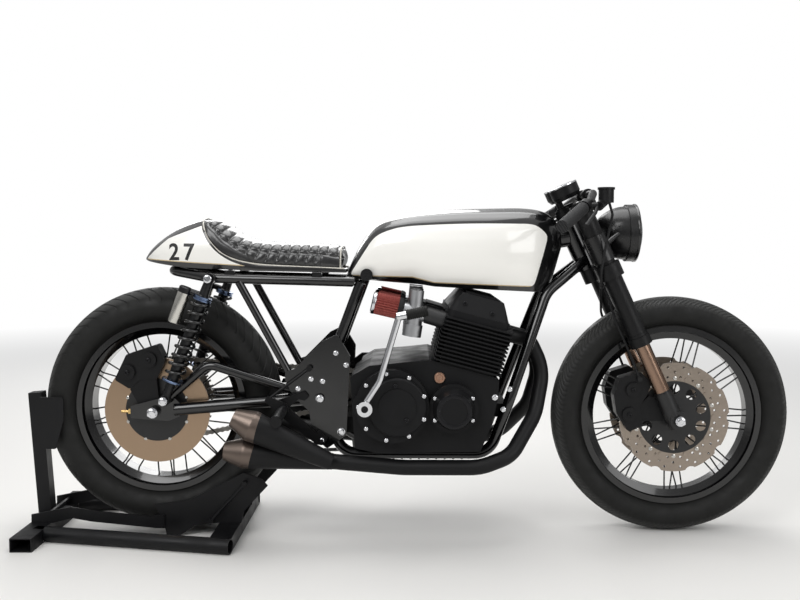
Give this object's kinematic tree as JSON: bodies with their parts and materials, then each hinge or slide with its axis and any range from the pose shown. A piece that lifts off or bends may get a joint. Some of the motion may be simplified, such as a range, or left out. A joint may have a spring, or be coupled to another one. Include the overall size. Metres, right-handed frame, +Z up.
{
  "type": "cafe racer motorcycle on a wheel chock",
  "caption": "Bare cafe racer motorcycle with an air-cooled engine, low bars, single seat and tail cowl, standing with its rear wheel in a steel floor chock.",
  "frame": {"origin": "on the floor, under the middle of the whole length, in the middle plane", "axes": "+X to the front wheel, +Z up, and the rider's right is -Y"},
  "size_m": [2.1879, 0.7584, 1.006],
  "materials": {
    "gloss_black": "gloss black paint",
    "satin_black": "satin black paint",
    "white_paint": "gloss white paint",
    "tyre_rubber": "matt",
    "black_rubber": "matt",
    "seat_hide": "grained, sewn in channels",
    "disc_steel": "ground",
    "steel": "satin",
    "chrome": "polished",
    "cast_alloy": "as cast",
    "engine_black": "satin black coated",
    "exhaust_black": "satin black, heat resisting",
    "lens": "clear",
    "filter": "pleated gauze",
    "chock_black": "satin black powder coat"
  },
  "bodies": {
    "chassis": {"frame_spine": "gloss_black", "cradle": "gloss_black", "subframe": "gloss_black", "pivot_plates": "satin_black", "swingarm": "gloss_black", "shocks": "cast_alloy", "springs": "satin_black", "rear_caliper": "satin_black", "crankcase": "engine_black", "cylinders": "engine_black", "cylinder_head": "engine_black", "clutch_cover": "engine_black", "points_cover": "engine_black", "alternator_cover": "engine_black", "drive_sprocket": "steel", "chain": "steel", "sprocket_cover": "engine_black", "carburettors": "cast_alloy", "air_filters": "filter", "exhaust_right": "exhaust_black", "exhaust_left": "exhaust_black", "fuel_tank": "gloss_black", "seat_pad": "seat_hide", "tail_cowl": "white_paint", "rearsets": "cast_alloy", "kick_lever": "chrome", "chock_crossbars": "chock_black", "chock_tubes": "chock_black", "chock_post": "chock_black", "chock_cradle": "chock_black"},
    "fork": {"fork_tubes": "satin_black", "fork_legs": "satin_black", "triple_clamps": "satin_black", "handlebar": "satin_black", "grips": "black_rubber", "levers": "satin_black", "headlight": "gloss_black", "headlight_lens": "lens", "gauges": "satin_black", "front_calipers": "satin_black", "brake_hoses": "black_rubber"},
    "front_wheel": {"front_rim": "gloss_black", "front_tyre": "tyre_rubber", "front_discs": "disc_steel"},
    "rear_wheel": {"rear_rim": "gloss_black", "rear_tyre": "tyre_rubber", "rear_disc": "disc_steel", "rear_sprocket": "steel"},
    "side_stand": {"side_stand": "satin_black"}
  },
  "joints": [
    {"name": "steering", "type": "hinge", "parent": "chassis", "child": "fork", "pos_m": [0.71778, 0, 0.32058], "axis": [-0.4147, 0, 0.91], "range_deg": [-25, 25]},
    {"name": "front_wheel_spin", "type": "hinge", "parent": "fork", "child": "front_wheel", "pos_m": [0.756, 0, 0.338], "axis": [0, 1, 0], "continuous": true},
    {"name": "rear_wheel_spin", "type": "hinge", "parent": "chassis", "child": "rear_wheel", "pos_m": [-0.699, 0, 0.362], "axis": [0, 1, 0], "continuous": true},
    {"name": "side_stand_swing", "type": "hinge", "parent": "chassis", "child": "side_stand", "pos_m": [-0.139, 0.148, 0.196], "axis": [0, -1, 0], "range_deg": [0, 100]}
  ]
}
